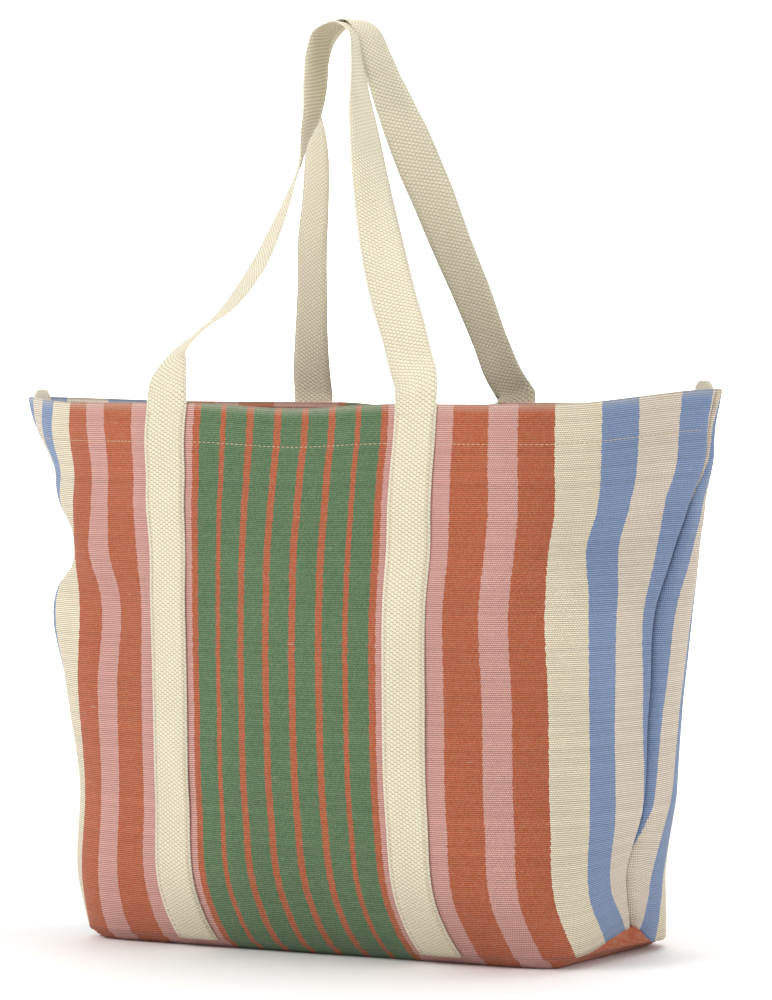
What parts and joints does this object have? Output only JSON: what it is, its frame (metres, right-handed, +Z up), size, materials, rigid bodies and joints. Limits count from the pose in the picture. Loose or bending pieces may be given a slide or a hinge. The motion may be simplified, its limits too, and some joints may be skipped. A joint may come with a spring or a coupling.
{
  "type": "beach bag",
  "caption": "Open-topped striped canvas beach tote on a flat base, with webbing handles that are sewn down the outside and swing at the rim.",
  "frame": {"origin": "middle of the face the bag rests on, on the floor", "axes": "+X to the bag's right, +Y to its back, +Z up through the mouth"},
  "size_m": [0.548, 0.2824, 0.6617],
  "materials": {
    "canvas": "yarn-dyed striped cotton canvas, matt",
    "webbing": "natural cotton webbing, coarse weave",
    "tape": "natural cotton twill tape",
    "thread": "natural cotton thread"
  },
  "bodies": {
    "bag": {"front_panel": "canvas", "back_panel": "canvas", "bottom_panel": "canvas", "bottom_seam_binding": "tape", "left_side_binding": "tape", "right_side_binding": "tape", "front_hem_stitching": "thread", "front_handle_left_leg": "webbing", "front_handle_left_inner_stitching": "thread", "front_handle_left_outer_stitching": "thread", "front_handle_right_leg": "webbing", "front_handle_right_inner_stitching": "thread", "front_handle_right_outer_stitching": "thread", "back_hem_stitching": "thread", "back_handle_left_leg": "webbing", "back_handle_left_inner_stitching": "thread", "back_handle_left_outer_stitching": "thread", "back_handle_right_leg": "webbing", "back_handle_right_inner_stitching": "thread", "back_handle_right_outer_stitching": "thread"},
    "front_handle": {"front_handle_loop": "webbing"},
    "back_handle": {"back_handle_loop": "webbing"}
  },
  "joints": [
    {"name": "front_handle_swing", "type": "hinge", "parent": "bag", "child": "front_handle", "pos_m": [0, -0.1264, 0.386], "axis": [1, 0, 0], "range_deg": [0, 180]},
    {"name": "back_handle_swing", "type": "hinge", "parent": "bag", "child": "back_handle", "pos_m": [0, 0.0644, 0.386], "axis": [-1, 0, 0], "range_deg": [0, 150]}
  ]
}
